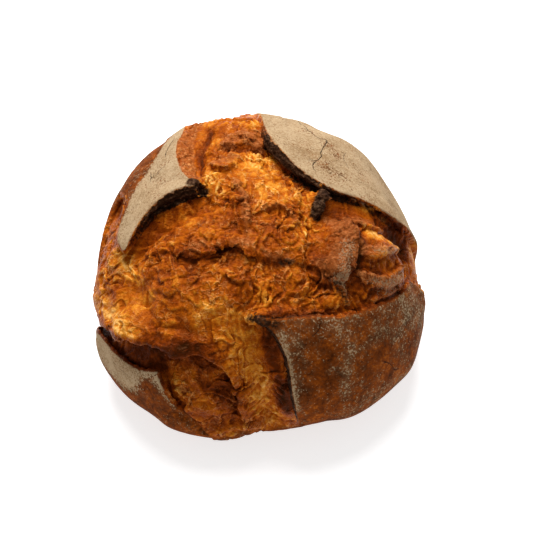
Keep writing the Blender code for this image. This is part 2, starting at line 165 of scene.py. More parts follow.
# Ledges: torn flakes and folds. A path whose left side is a cliff, how high it is (mm), and how many
# degrees behind it the ground takes to come down
LEDGES = [
    ([(33, -19), (35, -21), (37, -25), (37, -34), (35, -38), (34, -42)], 8, 9),
    ([(34, -40), (36, -43), (38, -47)], 5, 6),
    ([(36, -41), (30, -42), (22, -40)], 3.5, 8),
    ([(55, -10), (49, -15), (45, -17), (41, -19), (37, -17)], 5, 5),
    ([(61, -14), (55, -19), (50, -24), (44, -29), (41, -30), (37, -31)], 5.5, 7),
    ([(37, -36), (41, -35), (46, -34), (52, -30), (57, -24), (59, -18)], 4, 3),
    ([(63, -22), (57, -29), (51, -34), (45, -37), (40, -37)], 3, 3),
    ([(64, -26), (58, -31), (53, -36), (48, -40), (43, -42)], 2.5, 3),
    ([(9, 19), (4, 18), (0, 17), (-3, 15.5), (-6, 13.5), (-10, 15), (-13, 20)], 6, 8),
    ([(-5, 8), (-8, -1), (-11, -0.5), (-14, 1), (-17, 8)], 5, 6),
    ([(19, -23), (15, -20), (11, -18), (4, -21)], 4, 5),
    ([(-8, -31), (-14, -35), (-19, -35), (-25, -31)], 3.5, 6),
    ([(-7, -5), (-4, -11), (-1, -18), (0, -24), (-1, -31)], 3, 5),
    ([(8, -8), (13, -14), (14, -22)], 2.5, 4),
    ([(-21, 18), (-16, 14), (-10, 15)], 3, 5),
    ([(-22, -2), (-16, -4), (-12, 0)], 2, 5),
    ([(18, -6), (20, -12), (18, -18)], 3, 4),
    ([(-30, -22), (-38, -24), (-46, -22)], 2, 5),
    ([(-24, -42), (-32, -44), (-38, -40)], 2, 5),
    ([(6, -44), (-4, -45), (-12, -42)], 2, 5),
    ([(-62, -22), (-60, -30), (-54, -34)], 2, 4),
    ([(24, -24), (20, -32), (22, -42), (20, -50)], 3, 6),
    ([(-36, -82), (-30, -80), (-22, -84)], 2.5, 5),
    ([(-30, -70), (-26, -74), (-24, -80)], 2, 4),
]
LEDGE_FACE = 0.9
LEDGE_ENDS = 0.2  # share of its length over which a ledge dies out at each end

# Crumb whose strands hang downhill, on the burst's front: the middle of it, degrees to each side
HANGING = [(-4, -62), (0, -74), (6, -92)]
HANGING_WIDTH = 11.0

# Cracks in the crust: path, how dark
CRACKS = [
    ([(31, 28), (30, 22), (29, 19), (28, 14), (28.3, 11), (26, 7), (24.7, 4), (25, 1)], 0.9),
    ([(27.3, 8.5), (25.5, 7), (24, 8)], 0.6),
    ([(19, 41), (20, 37), (22, 35), (23, 31), (24.5, 30), (26, 27), (28, 26), (31, 28)], 0.6),
    ([(38, 22), (37, 18), (37.3, 14), (38.5, 11)], 0.35),
    ([(-31, 25), (-33, 20), (-34, 16)], 0.9),
    ([(-35, 8), (-37, 7)], 0.8),
    ([(-40, 9), (-40, 5)], 0.8),
    ([(26, -54.5), (25.5, -56.5), (24, -58)], 0.9),
    ([(58, -56), (63, -55), (67, -55.5), (70, -54)], 0.8),
    ([(-68, -52), (-60, -60)], 0.3),
]
CRACK_NEAR = 1.2  # degrees

# Crags: a path that leans to its left, height and sink (mm), half width (degrees), unevenness
CRAGS = [
    ([(-10, -80), (-10, -72), (-19, -64), (-34, -58), (-51, -48), (-63, -40), (-80, -24)],
     6, 7, 3.2, 1),
    ([(14, -38), (2, -36), (-8, -32), (-20, -35), (-32, -30)], 0.5, 7, 2.8, 1),
    ([(6, 19), (-4, 22), (-12, 18)], 1.5, 6, 3, 1),
    ([(30, -5.5), (28.3, -10), (27, -15), (25.3, -20.5)], 4, 9, 2.7, 1.3),
    ([(18, -55), (8, -56), (-3, -57)], 3, 7, 2.6, 0.7),
]

# How far the crumb is baked, from 0 to 1, and what a stretch along a path adds to that. Some stretches are
# painted shade or painted light instead, as marked
CRUMB_TONE = 0.40
TONES = [
    ([(0, 14), (5, 1), (9, -8)], -0.20, 9),
    ([(-18, 20), (-18, 4), (-14, -6)], -0.10, 5),
    # Painted shade: darker in the crevice right of the upper left rim band
    ([(-20, -4), (-21, 4), (-21, 14), (-20, 20), (-17, 28)], 0.30, 1.3),
    ([(-9, 16), (-3, 18), (5, 20)], 0.25, 3),
    # Painted shadow along the foot of the lower edge of the lobe near the crown's top
    ([(-9, 13.5), (-5, 13), (0, 15.5), (5, 17)], 0.35, 1.3),
    ([(31, -4)], 0.3, 2.5),
    ([(74, -4), (80, -8), (88, -10)], -0.15, 5),
    ([(-88, -26), (-75, -37), (-60, -54), (-53, -60), (-41.5, -65), (-40, -75), (-33, -87)], 0.25, 1.3),
    ([(-38, -17), (-26, -14)], -0.14, 3),
    # Painted light: the front of the lower left crest is lighter, as the lamp behind the loaf reaches it
    # little
    ([(-66, -33), (-57, -41), (-50, -47)], -0.10, 2.5),
    ([(-8, -8), (-3, -14), (-1, -24)], 0.10, 3.5),
    ([(-60, -20), (-51, -28), (-44, -44)], -0.14, 7),
    ([(-80, -20), (-65, -34), (-57, -42), (-51, -47), (-43, -53)], -0.17, 3),
    # Painted shade under the lower left crest, which leans over it
    ([(-78, -30), (-62, -43), (-50, -52), (-40, -57), (-30, -60), (-22, -62)], 0.26, 2.2),
    # Painted shade under the long crest across the middle of the burst
    ([(14, -38.5), (4, -38.5), (-8, -34), (-20, -37), (-30, -32), (-38, -30)], 0.14, 1.4),
    # Painted shade in the recess at the foot of the wedge's right cliff
    ([(36.5, -18), (39, -25), (39.5, -35)], 0.35, 1.3),
    ([(-80, -33), (-66, -48), (-52, -57), (-42, -63)], 0.16, 4),
    ([(-46, -57), (-38, -60)], 0.14, 3),
    ([(-30, -24), (-8, -34)], 0.03, 12),
    ([(-34, -34), (-20, -40), (-6, -40)], 0.06, 6),
    ([(-38, -62), (-26, -64), (-16, -74), (-12, -87)], 0.19, 5.5),
    ([(-38, -66), (-38, -75)], -0.12, 2.5),
    ([(-34, -82), (-12, -90)], 0.05, 5),
    ([(-4, -60), (1, -78), (8, -96)], -0.22, 6),
    ([(-30, -46), (-14, -50), (2, -48)], -0.04, 7),
    ([(6, -62), (10, -72), (16, -86)], 0.42, 3.4),
    ([(34, -8), (47, -8), (62, -8)], -0.02, 5),
    ([(36, -20), (36, -32), (30, -38)], 0.35, 4.5),
    ([(42, -21), (47, -19), (54, -17)], -0.25, 2.5),
    ([(45, -27), (52, -22), (56, -18)], -0.10, 2.5),
    ([(40, -14), (46, -12), (52, -10)], 0.16, 4.5),
    ([(38, -28), (46, -22), (58, -16)], 0.09, 4),
    ([(40, -38), (52, -36), (62, -26)], 0.16, 6),
    ([(-16, 36), (-4, 42)], -0.10, 6),
    # Painted shade in the hollow under the end of the upper right lip
    ([(59, -5), (64, -6), (68, -8)], 0.40, 3.5),
    ([(2, -55), (26, -52), (44, -45), (60, -31), (72, -17)], 0.22, 1.2),
    ([(64, -14), (72, -14), (90, -8)], -0.02, 6),
]

# Where the torn crumb is smooth, as shares of its relief that are missing
CALMS = [
    ([(-48, -19), (-34, -16), (-24, -14)], 0.9, 5),
    ([(34, -9), (47, -9), (62, -8)], 0.8, 4.5),
    ([(-70, -46), (-52, -57), (-42, -61)], 0.7, 4.5),
    ([(6, -62), (10, -72), (16, -86)], 0.5, 3.2),
    ([(-58, -34), (-50, -38), (-42, -46)], 0.7, 6),
    ([(-4, -62), (1, -76), (6, -92)], 0.6, 6),
    ([(-30, -62), (-20, -66)], 0.5, 6),
    ([(-56, -8), (-58, 8)], 0.6, 4),
    ([(30, -16), (24, -14)], 0.5, 4),
    ([(-38, -42), (-28, -46)], 0.4, 6),
    ([(34, -22), (35, -30), (32, -36)], 0.6, 4),
    ([(46, -14), (54, -20), (50, -32)], 0.55, 7),
    ([(-20, 30), (0, 30)], 0.4, 9),
]

# How much flour lies on the crust: everywhere, in patches (outline, amount, how soft its border is in
# degrees), and along paths
CRUST_FLOUR = 0.10
FLOUR_PATCHES = [
    ([(-6, 80), (-8, 50), (2, 20), (12, -4), (24, -12), (56, -12), (66, -10), (98, -20), (FAR, FAR)],
     0.95, 3),
    ([(-10, 60), (-12, 30), (-20, 20), (-20, 0), (-14, -2), (-16, -14), (-36, -17), (-56, -28),
      (-55, -19), (-54, -11), (-51, -4), (-49, 0), (-46, 6), (-42, 11), (-38, 20), (-34.5, 31),
      (-31, 40), (-29, 60)], 0.95, 1.6),
    ([(-92, -20), (-73, -34), (-62, -48), (-52, -57), (-40, -62), (-36, -78), (-40, -74), (-43, -68),
      (-48, -65), (-55, -65), (-60, -68), (-70, -62), (-92, -36)], 0.75, 6),
    ([(2, -50), (26, -47), (50, -34), (66, -16), (98, -10), (98, -34), (80, -36), (58, -48),
      (40, -62), (34, -58), (20, -60), (22, -84), (14, -84), (6, -60)], 0.22, 9),
]
FLOURS = [
    ([(11, -60), (16, -72), (20, -84)], 0.45, 1.6),
    ([(96, -30), (80, -50), (62, -70), (44, -84)], 0.22, 6),
    ([(40, -60), (40, -66), (43, -72)], 0.26, 4),
    ([(62, -36), (72, -28)], 0.2, 6),
    ([(-58, 26), (-54, 34)], 0.25, 10),
    ([(31, 22), (34, 17)], -0.42, 3),
    ([(29, 5), (36, 3)], -0.42, 3),
    ([(20, 41), (22, 36)], -0.25, 1.2),
    ([(-60, -62), (-68, -54), (-76, -40)], 0.4, 3.5),
    ([(-56, -55), (-48, -60), (-42, -63), (-40, -70), (-38, -76)], 0.35, 1.8),
    ([(-32, 12), (-36, 4), (-37, -4)], -0.12, 5),
]

# Pinkish brown skin on ridges and flakes
SKINS = [
    ([(-22, 36), (-25, 28), (-26, 18), (-25, 7), (-22.5, -3)], 1.5, 2.4),
    ([(8, 24), (6, 36)], 1, 2),
    ([(-8, 18), (-2, 20), (5, 22)], 1.5, 4.5),
    ([(-13, 4), (-10, 4), (-8, 9)], 1, 3.2),
    ([(-5, -8), (-2, -14), (-1, -22), (-1, -30)], 0.8, 2.4),
    ([(-14, -32), (-20, -32)], 0.6, 3),
    ([(33, -20), (34, -30), (30, -36)], 1, 4.5),
    ([(40, -15), (46, -13), (51, -11)], 1, 3.2),
    ([(40, -28), (47, -24), (57, -16)], 0.7, 2),
    ([(42, -36), (52, -32), (60, -22)], 0.6, 3),
    ([(-76, -31), (-62, -44), (-50, -53), (-40, -58)], 0.4, 1.6),
    ([(18, -22), (12, -19), (6, -20)], 0.7, 1.5),
    ([(14, -37), (4, -36), (-6, -32)], 0.6, 2),
]

# Flour and sooty black on parts of the crumb that were skin once; the black in the hollow under the end of
# the upper right lip is painted shade
CRUMB_FLOURS = [
    ([(34, -30), (33, -36), (32, -40)], 0.55, 3.2),
    ([(35, -40), (37, -44)], 0.45, 2),
    ([(44, -27), (49, -25), (53, -21)], 0.5, 2),
    ([(44, -36), (51, -33), (57, -27)], 0.5, 2.2),
    ([(48, -40), (58, -31)], 0.35, 2.5),
    ([(-60, -17)], 0.5, 3),
]
SOOTS_AND_SHADE = [
    ([(29, -9), (27.5, -13), (26, -18)], 1.3, 2.3),
    ([(-19, -9), (-22, -7)], 1, 2.2),
    ([(33, -42), (37, -46)], 0.5, 2.4),
    ([(-1, -56), (6, -57), (9, -57)], 0.6, 1.8),
    ([(12, -39), (16, -38)], 0.55, 1.8),
    # Painted shade, in the char colours, in the hollow under the end of the upper right lip
    ([(64, -8), (68, -6)], 0.3, 3),
]

# Meshes
CORE_STEP = 0.5  # degrees between the core's rings
CORE_SPOKES = 760
PATH_STEP = 3.2  # degrees between the points of a path, where distances to it are worked out
BAR_STEP = 0.6  # degrees between the sections of a lip or a crag
VOXEL = 0.75 * MM
TRIANGLES = 196000

# Camera, seen in the dome's own frame
CAMERA_TARGET = Vector((7, 8, 60)) * MM
CAMERA_DISTANCE = 1.2
CAMERA_ELEVATION = 48.0
CAMERA_WIDTH = 0.386  # metres across the picture at the target
SENSOR = 36.0

# Floor, sky and light
FLOOR_SIZE = 12.0  # metres
FLOOR_GREY = 0.6
FLOOR_ROUGHNESS = 0.9
FLOOR_GLOW = 0.72
SKY_GLOW = 0.3
LIGHT_PLACE = (-0.1, 0.62, 1.2)
LIGHT_SIZE = 1.0
LIGHT_POWER = 32.0  # watts


def catmull_rom(before, here, after, beyond, t):
    """A point between here and after on the smooth curve through four points."""
    bend = 2 * before - 5 * here + 4 * after - beyond
    twist = 3 * (here - after) + beyond - before
    return here + 0.5 * t * (after - before + t * (bend + t * twist))


def periodic(values, turn):
    """Read values spaced evenly round a circle, smoothly between them, at angles turn."""
    count = len(values)
    place = (turn / (2 * np.pi) * count) % count
    first = np.floor(place).astype(int)
    around = [values[(first + step) % count] for step in (-1, 0, 1, 2)]
    return catmull_rom(*around, place - first)


def smooth_path(points, spacing):
    """A smooth curve through the points, in steps of about the spacing."""
    points = np.array(points, float)
    if len(points) == 1:
        return points
    padded = np.vstack([2 * points[0] - points[1], points, 2 * points[-1] - points[-2]])
    pieces = []
    for around in zip(padded, padded[1:], padded[2:], padded[3:]):
        steps = max(2, int(np.ceil(np.linalg.norm(around[2] - around[1]) / spacing)))
        pieces.append(catmull_rom(*around, np.arange(steps)[:, None] / steps))
    pieces.append(points[-1:])
    return np.vstack(pieces)


def nearest_on(path, u, v):
    """Degrees from each place to the path, negative on its left, and the share of it walked."""
    line = smooth_path(path, PATH_STEP)
    if len(line) == 1:
        return np.hypot(u - line[0, 0], v - line[0, 1]), np.zeros(u.shape)
    best = np.full(u.shape, np.inf)
    side = np.ones(u.shape)
    walked = np.zeros(u.shape)
    for step, (start, end) in enumerate(zip(line, line[1:])):
        along = end - start
        du, dv = u - start[0], v - start[1]
        share = np.clip((du * along[0] + dv * along[1]) / (along @ along), 0, 1)
        gap = (du - share * along[0]) ** 2 + (dv - share * along[1]) ** 2
        closer = gap < best
        best[closer] = gap[closer]
        side[closer] = np.where(along[0] * dv - along[1] * du > 0, -1.0, 1.0)[closer]
        walked[closer] = ((step + share) / (len(line) - 1))[closer]
    return np.sqrt(best) * side, walked


def distance_to(path, u, v):
    return nearest_on(path, u, v)[0]


def spread(stretches, u, v):
    """The sum of what stretches along paths add at each place."""
    total = np.zeros(u.shape)
    for path, amount, half_width in stretches:
        total += amount * np.exp(-(distance_to(path, u, v) / half_width) ** 2)
    return total


def inside(outline, u, v):
    """True where a place lies inside a closed outline."""
    result = np.zeros(u.shape, bool)
    for start, end in zip(outline, np.roll(outline, -1, axis=0)):
        crosses = (start[1] > v) != (end[1] > v)
        rise = end[1] - start[1]
        at = start[0] + (v - start[1]) * (end[0] - start[0]) / (rise if rise else 1.0)
        result ^= crosses & (u < at)
    return result


def flap_outline(lips, closing):
    return np.vstack([smooth_path(lip[0], PATH_STEP) for lip in lips] + [closing])


def ease(value):
    """0 up to 0, 1 from 1 on, smooth between."""
    t = np.clip(value, 0, 1)
    return t * t * (3 - 2 * t)


def dome_reach(tilt, turn):
    """How far the dome's form is from its heart, in a direction."""
    plan = periodic(PLAN_RADII, turn)
    across, up = np.sin(tilt), np.cos(tilt)
    fullness = np.where(up > 0, DOME_FULLNESS, FOOT_FULLNESS)
    rise = np.where(up > 0, HEIGHT - HEART, FOOT_DEPTH)
    smooth = (np.abs(across / plan) ** fullness + np.abs(up / rise) ** fullness) ** (-1 / fullness)
    return smooth + MM * spread(DENTS, np.degrees(tilt) * np.cos(turn), np.degrees(tilt) * np.sin(turn))


def lean_at(z):
    return np.clip((z - HEART) / (HEIGHT - HEART), 0, 1) ** LEAN_POWER


def dome_point(u, v, proud):
    """The place in space that lies proud (metres) of the dome's form at crown degrees (u, v)."""
    tilt = np.radians(np.hypot(u, v))
    turn = np.arctan2(v, u)
    reach = dome_reach(tilt, turn) + proud
    z = HEART + reach * np.cos(tilt)
    x = reach * np.sin(tilt) * np.cos(turn) + CROWN_SHIFT[0] * lean_at(z)
    y = reach * np.sin(tilt) * np.sin(turn) + CROWN_SHIFT[1] * lean_at(z)
    return np.stack([x, y, np.maximum(z, 0)], -1)


def crown_place(points):
    """Crown degrees (u, v) of points in space, how far they stand proud of the dome (mm), and the
    direction away from the heart."""
    lean = lean_at(points[:, 2])[:, None]
    offset = points - np.column_stack([CROWN_SHIFT * lean, np.full(len(points), HEART)])
    reach = np.linalg.norm(offset, axis=1)
    outward = offset / reach[:, None]
    tilt = np.arccos(np.clip(outward[:, 2], -1, 1))
    turn = np.arctan2(outward[:, 1], outward[:, 0])
    proud = (reach - dome_reach(tilt, turn)) / MM
    return np.degrees(tilt) * np.cos(turn), np.degrees(tilt) * np.sin(turn), proud, outward


def lattice_hash(corner, seed):
    """A whole number that looks random, for each corner of a lattice."""
    mixed = corner[0] * np.uint32(374761393) + corner[1] * np.uint32(668265263)
    mixed = mixed + corner[2] * np.uint32(2246822519) + np.uint32(seed * 3266489917 % 2**32)
    mixed = (mixed ^ (mixed >> np.uint32(13))) * np.uint32(1274126177)
    return mixed ^ (mixed >> np.uint32(16))


TURNS = np.linspace(0, 2 * np.pi, 256, endpoint=False) * 89
LIFTS = np.linspace(-0.998, 0.998, 256)
GRADIENTS = np.stack([np.sqrt(1 - LIFTS**2) * np.cos(TURNS), np.sqrt(1 - LIFTS**2) * np.sin(TURNS),
                      LIFTS], -1).astype(np.float32)


def waves(points, length, seed=0):
    """Smooth noise in space, about -1 to 1. The length is in mm."""
    place = np.asarray(points / (length * MM), np.float32) + 512
    cell = np.floor(place)
    t = place - cell
    cell = cell.astype(np.uint32).T
    fade = t * t * t * (t * (t * 6 - 15) + 10)
    total = np.zeros(len(points), np.float32)
    for corner in np.ndindex(2, 2, 2):
        mixed = lattice_hash(cell + np.array(corner, np.uint32)[:, None], seed)
        weight = np.ones(len(points), np.float32)
        for axis, high in enumerate(corner):
            weight *= fade[:, axis] if high else 1 - fade[:, axis]
        offset = t - np.array(corner, np.float32)
        total += weight * np.einsum("ij,ij->i", GRADIENTS[mixed & np.uint32(255)], offset)
    return total * 1.6


def rough_waves(points, length, octaves, seed=0, gain=0.5):
    """Noise with finer and finer waves on top."""
    total, amount, norm = 0.0, 1.0, 0.0
    for octave in range(octaves):
        total = total + amount * waves(points, length / 2.1**octave, seed + octave)
        norm += amount
        amount *= gain
    return total / norm


def veins(points, length, seed=0):
    """1 on thin winding lines, falling to about -1 between them."""
    return 1 - 2.6 * np.abs(waves(points, length, seed))


def cells(points, length, seed=0):
    """Distance to the nearest of scattered seeds, as a share of the length."""
    place = np.asarray(points / (length * MM), np.float32) + 512
    cell = np.floor(place)
    t = place - cell
    cell = cell.astype(np.uint32).T
    nearest = np.full(len(points), 9.0, np.float32)
    for corner in np.ndindex(3, 3, 3):
        step = np.array(corner, np.int64) - 1
        mixed = lattice_hash(cell + step.astype(np.uint32)[:, None], seed)
        parts = [(mixed >> np.uint32(bits)) & np.uint32(1023) for bits in (0, 10, 20)]
        jitter = np.stack(parts, -1) / 1023
        offset = step + jitter.astype(np.float32) - t
        nearest = np.minimum(nearest, np.sqrt(np.einsum("ij,ij->i", offset, offset)))
    return nearest


def crumb_depth(u, v):
    """How far the torn crumb lies below the dome's form, in mm."""
    depth = CRUMB_DEPTH + spread(SWELLS, u, v)
    for path, drop, reach in SHELVES:
        signed = distance_to(path, u, v)
        below = drop * ease(-signed / SHELF_FACE) * np.exp(signed / reach)
        depth += np.where(signed < 0, below, 0)
    for path, rise, reach in LEDGES:
        signed, walked = nearest_on(path, u, v)
        ends = ease(walked / LEDGE_ENDS) * ease((1 - walked) / LEDGE_ENDS)
        behind = ease(1 + signed / LEDGE_FACE) * np.exp(-np.maximum(signed, 0) / reach)
        depth -= rise * behind * ends
    return depth


def crumb_share(u, v):
    """1 where the core is torn crumb, 0 where crust covers it."""
    share = np.ones(u.shape)
    for lips, closing, undercut in FLAPS:
        in_flap = inside(flap_outline(lips, closing), u, v)
        gap = np.min([np.abs(distance_to(lip[0], u, v)) for lip in lips], axis=0)
        share = np.where(in_flap, 1 - ease((gap - EDGE_MARGIN) / undercut), share)
    return share


def torn_shelves(points, length, steps, seed):
    """Curved ledges, 0 to 1 high: each climbs gently and then drops."""
    warp = np.stack([waves(points, length * 0.7, seed + 5 + axis) for axis in range(3)], -1)
    climb = rough_waves(points + warp * length * 0.3 * MM, length, 2, seed) * steps
    part = climb - np.floor(climb)
    return part * ease((1 - part) / 0.16)


def core_roughness(points, share):
    """Unevenness of the core before it is fused, in mm."""
    shelf_mask = ease(waves(points, 31, 40) * 1.5 + 0.6)
    crumb = 2.0 * waves(points, 26, 1) + 1.3 * waves(points, 12, 2)
    crumb += 2.6 * shelf_mask * torn_shelves(points, 24, 3.0, 11)
    crumb += 0.5 * rough_waves(points, 7, 2, 21)
    crust = 0.9 * waves(points, 45, 3) + 0.35 * waves(points, 18, 4)
    return crumb * share + crust * (1 - share)


def mesh_object(name, points, faces):
    mesh = bpy.data.meshes.new(name)
    mesh.from_pydata(points, [], faces)
    made = bpy.data.objects.new(name, mesh)
    bpy.context.scene.collection.objects.link(made)
    return made


def ring_faces(rings, count):
    """The numbers of the points of closed rings, those of their next points, and the faces between."""
    index = np.arange(rings * count).reshape(rings, count)
    after = np.roll(index, -1, axis=1)
    quads = np.stack([index[:-1], index[1:], after[1:], after[:-1]], -1).reshape(-1, 4)
    return index, after, quads.tolist()


def core_object():
    """The dome with the burst carved into it, as rings round the crown."""
    rings = int(180 / CORE_STEP) - 1
    tilt = np.repeat((np.arange(rings) + 1) * CORE_STEP, CORE_SPOKES)
    turn = np.tile(np.arange(CORE_SPOKES) * 2 * np.pi / CORE_SPOKES, rings)
    u = np.append(tilt * np.cos(turn), [0, 180])
    v = np.append(tilt * np.sin(turn), [0, 0])
    share = crumb_share(u, v)
    foot = 1 - ease((np.hypot(u, v) - CRUMB_FOOT_FROM) / CRUMB_FOOT_OVER)
    rough = core_roughness(dome_point(u, v, 0.0), share)
    points = dome_point(u, v, (rough - crumb_depth(u, v) * share * foot) * MM)
    index, after, quads = ring_faces(rings, CORE_SPOKES)
    top, bottom = len(u) - 2, len(u) - 1
    caps = [(top, a, b) for a, b in zip(index[0], after[0])]
    caps += [(bottom, b, a) for a, b in zip(index[-1], after[-1])]
    return mesh_object("core", points, quads + caps)


def room_behind(line, left, outline):
    """Degrees from each place on a flap's edge, away from the burst, to the flap's other edge."""
    room = np.full(len(line), LIP_REACH)
    if outline is None:
        return room
    for back in np.arange(LIP_REACH - 0.5, 0.5, -0.5):
        behind = line - back * left
        room = np.where(inside(outline, behind[:, 0], behind[:, 1]), room, back)
    return room


def bar_object(name, path, section, outline=None):
    """A closed bar along a path, whose section changes as it goes."""
    line = smooth_path(path, BAR_STEP)
    ahead = np.gradient(line, axis=0)
    ahead /= np.linalg.norm(ahead, axis=1)[:, None]
    left = np.stack([-ahead[:, 1], ahead[:, 0]], -1)
    room = room_behind(line, left, outline)
    points = []
    for step, (place, side) in enumerate(zip(line, left)):
        corners = np.array(section(step / (len(line) - 1), room[step]))
        corners[:, 1] -= FOOT_SINK * ease((np.hypot(*place) - FOOT_SINK_FROM) / FOOT_SINK_OVER)
        spots = place + corners[:, :1] * side
        points.append(dome_point(spots[:, 0], spots[:, 1], corners[:, 1] * MM))
    index, _, quads = ring_faces(len(line), len(corners))
    return mesh_object(name, np.vstack(points), quads + [index[0].tolist(), index[-1][::-1].tolist()])


def along(values, walked):
    """Values given from a path's start to its end, read at shares of it."""
    return np.interp(walked, np.linspace(0, 1, len(values)), values) if len(values) > 1 else values[0]


def lip_section(lift, thickness, overhang, slant, phase):
    """A lip: the crust curls up towards its free edge, which stands clear of the crumb."""
    def section(walked, back):
        top, thick, reach = along(lift, walked), along(thickness, walked), overhang
        out = along(slant, walked)
        reach += 0.2 * np.sin(61 * walked + phase) + 0.12 * np.sin(143 * walked + 2 * phase)
        rooted = back / LIP_REACH
        tip = 1 - rooted
        return [
            (-back, 0.8 * top * tip - LIP_ROOT_DEPTH * rooted),
            (-0.6 * back, 0.9 * top * tip + 0.3 * rooted),
            (-0.25 * back, top * (tip + 0.6 * rooted)),
            (reach - 0.5, top),
            (reach + 0.2 * out, top - 0.25 * thick),
            (reach + 0.7 * out, top - 0.75 * thick),
            (reach + out - 0.8, top - thick),
            (-0.3 * back, 0.5 * top - 1.1 * thick),
            (-back, -LIP_ROOT_DEPTH * rooted - thick * (1 + rooted)),
        ]
    return section


def crag_section(height, sink, half_width, uneven, phase):
    """A crag: a torn wave of crumb that leans over its lower side and dies out at both ends."""
    def section(walked, back):
        wave = 1 + uneven * (0.3 * np.sin(23 * walked + phase) + 0.2 * np.sin(41 * walked + 2 * phase))
        taper = np.sin(np.pi * np.clip(walked, 0.02, 0.98)) ** 0.6
        top = (height + sink) * taper * (0.8 + 0.2 * wave) - sink
        wide = half_width * (0.2 + 0.8 * taper)
        return [
            (-2.2 * wide, -sink),
            (-0.9 * wide, 0.6 * top - 0.2 * sink),
            (0.2 * wide, top),
            (0.75 * wide * wave, top - 0.8),
            (0.5 * wide, top - 2.5),
            (0.2 * wide, -sink - 1),
            (-1.0 * wide, -sink - 4),
        ]
    return section


def evaluated_copy(made):
    """The object's mesh as its modifiers leave it."""
    return bpy.data.meshes.new_from_object(made.evaluated_get(bpy.context.evaluated_depsgraph_get()))


def fused_loaf():
    """Core, lips and crags in one skin of even squares."""
    parts = [core_object()]
    for lips, closing, _ in FLAPS:
        outline = flap_outline(lips, closing)
        for phase, (path, *shape, _) in enumerate(lips):
            parts.append(bar_object("lip", path, lip_section(*shape, phase), outline))
    for phase, (path, *shape) in enumerate(CRAGS):
        parts.append(bar_object("crag", path, crag_section(*shape, phase)))
    bpy.ops.object.select_all(action="DESELECT")
    for part in parts:
        part.select_set(True)
    bpy.context.view_layer.objects.active = parts[0]
    bpy.ops.object.join()
    loaf = parts[0]
    remesh = loaf.modifiers.new("remesh", "REMESH")
    remesh.mode = "VOXEL"
    remesh.voxel_size = VOXEL
    remesh.adaptivity = 0
    fused = evaluated_copy(loaf)
    loaf.modifiers.clear()
    loaf.data = fused
    return loaf


def read_vectors(items, name):
    values = np.empty(len(items) * 3, np.float32)
    items.foreach_get(name, values)
    return values.reshape(-1, 3).astype(float)


def write_points(mesh, points):
    mesh.vertices.foreach_set("co", points.astype(np.float32).ravel())
    mesh.update()


def write_value(mesh, name, values):
    attribute = mesh.attributes.new(name, "FLOAT", "POINT")
    attribute.data.foreach_set("value", np.asarray(values, np.float32))


class Neighbours:
    """The edges of a mesh, for evening values out over the surface."""

    def __init__(self, mesh):
        ends = np.empty(len(mesh.edges) * 2, np.int32)
        mesh.edges.foreach_get("vertices", ends)
        self.first, self.second = ends.reshape(-1, 2).T
        self.count = len(mesh.vertices)
        self.degree = np.bincount(ends, minlength=self.count).astype(float)

    def even_out(self, values, rounds):
        """Each value becomes the mean of its neighbours' and its own, several times."""
        for _ in range(rounds):
            total = np.bincount(self.first, values[self.second], self.count)
            total += np.bincount(self.second, values[self.first], self.count)
            values = 0.5 * values + 0.5 * total / self.degree
        return values


def nearest_lip(u, v):
    """At each place how charred the nearest lip is, how far its foot stands out, how far its crust
    overhangs, and the degrees to its free edge, negative over the burst."""
    nearest = np.full(u.shape, np.inf)
    char, slanted, overhung, signed = (np.zeros(u.shape) for _ in range(4))
    for lips, closing, _ in FLAPS:
        in_flap = inside(flap_outline(lips, closing), u, v)
        for path, _, _, overhang, slant, amounts in lips:
            gap, walked = nearest_on(path, u, v)
            gap = np.abs(gap)
            closer = gap < nearest
            nearest = np.minimum(nearest, gap)
            char = np.where(closer, along(amounts, walked), char)
            slanted = np.where(closer, along(slant, walked), slanted)
            overhung = np.where(closer, overhang, overhung)
            signed = np.where(closer, np.where(in_flap, gap, -gap), signed)
    return char, slanted, overhung, signed


def surface_regions(points, normals):
    """What each point of the skin is: crust or crumb, and how charred."""
    u, v, proud, outward = crown_place(points)
    facing = np.einsum("ij,ij->i", normals, outward)
    char, slanted, overhung, signed = nearest_lip(u, v)
    crust = ease((signed + overhung + 0.2) / 0.7)
    for lips, closing, _ in FLAPS:
        crust = np.where(inside(flap_outline(lips, closing), u, v), 1, crust)
    low = np.hypot(u, v) - CRUST_FOOT_FROM + 1.5 * waves(points, 12, 44)
    crust = np.maximum(crust, ease(low / 2.0))
    crust *= ease((facing - 0.3) / 0.25) * ease((proud + 4) / 2.0)
    edge = ease((slanted + overhung + 0.8 + signed) / 0.8) * ease((4.0 - signed) / 1.5)
    steepest = np.where(signed > -overhung - 0.8 * slanted, 1.3, 0.75)
    edge *= ease((proud + 9) / 3.0) * ease((steepest - facing) / 0.3) * (1 - crust)
    return u, v, proud, crust, char * edge


